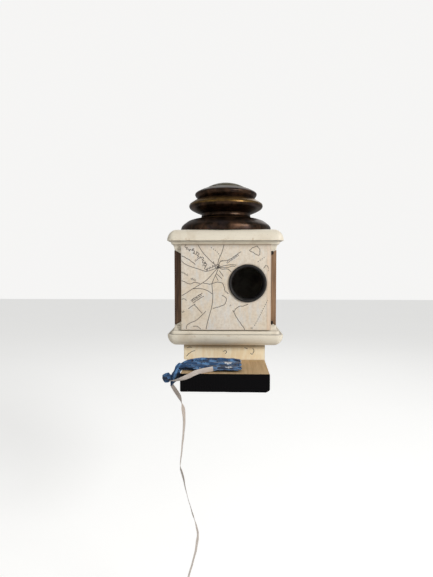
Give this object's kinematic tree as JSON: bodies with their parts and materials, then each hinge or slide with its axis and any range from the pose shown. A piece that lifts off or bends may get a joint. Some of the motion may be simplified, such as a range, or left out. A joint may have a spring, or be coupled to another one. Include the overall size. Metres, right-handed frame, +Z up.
{
  "type": "birdhouse",
  "caption": "Wall-hung craft birdhouse: a square box between moulded plaques, a hinged front with a pipe entrance, a turned metal finial, and a landing platform with a knotted cloth.",
  "frame": {"origin": "on the flat back of the box, in the wall's plane, half-way across and half-way up the box's walls", "axes": "+X to the right as seen from the front, +Y into the wall, +Z up; the front faces -Y"},
  "size_m": [0.1504, 0.2044, 0.522],
  "materials": {
    "cream_paint": "satin cream paint on wood, stained with age",
    "stained_wood": "dark stained wood with a worn grain",
    "bare_wood": "bare sawn softwood; the front end painted black",
    "map_paper": "aged off-white paper with thin dark printed lines, sealed matt",
    "black_plastic": "satin black plastic pipe",
    "bronze": "dark patinated bronze with a soft shine",
    "worn_brass": "patinated brass, worn bright at the rim",
    "steel": "zinc-plated",
    "dark_steel": "dark oxidised wire",
    "blue_cloth": "blue printed cotton with a small white print",
    "ribbon": "grey-beige satin ribbon"
  },
  "bodies": {
    "house": {"roof_plaque": "cream_paint", "floor_plaque": "cream_paint", "left_wall": "cream_paint", "right_wall": "cream_paint", "back_wall": "cream_paint", "frame_rail_top": "cream_paint", "frame_rail_bottom": "cream_paint", "frame_stile_left": "stained_wood", "frame_stile_right": "stained_wood", "hinge_top_frame_eye": "dark_steel", "hinge_top_pin": "dark_steel", "hinge_bottom_frame_eye": "dark_steel", "hinge_bottom_pin": "dark_steel", "riser_block": "cream_paint", "riser_map_paper": "map_paper", "platform_board": "bare_wood", "roof_screw_front_left": "steel", "roof_screw_front_right": "steel", "roof_screw_rear_left": "steel", "roof_screw_rear_right": "steel", "floor_screw_front_left": "steel", "floor_screw_front_right": "steel", "floor_screw_rear_left": "steel", "floor_screw_rear_right": "steel", "platform_screw_front_left": "steel", "platform_screw_front_right": "steel", "platform_screw_rear_left": "steel", "platform_screw_rear_right": "steel", "finial_base": "bronze", "finial_neck": "bronze", "finial_cap": "bronze", "finial_ring_disc": "worn_brass", "finial_rod": "steel", "rod_washer": "steel", "rod_nut": "steel", "cloth_loop": "blue_cloth", "cloth_knot": "blue_cloth", "ribbon_end": "ribbon", "ribbon_tail": "ribbon"},
    "door": {"door_panel": "cream_paint", "door_map_paper": "map_paper", "entrance_pipe": "black_plastic", "hinge_top_door_eye": "dark_steel", "hinge_bottom_door_eye": "dark_steel"}
  },
  "joints": [
    {"name": "door_hinge", "type": "hinge", "parent": "house", "child": "door", "pos_m": [0.0602, -0.1345, 0], "axis": [0, 0, 1], "range_deg": [0, 110]}
  ]
}
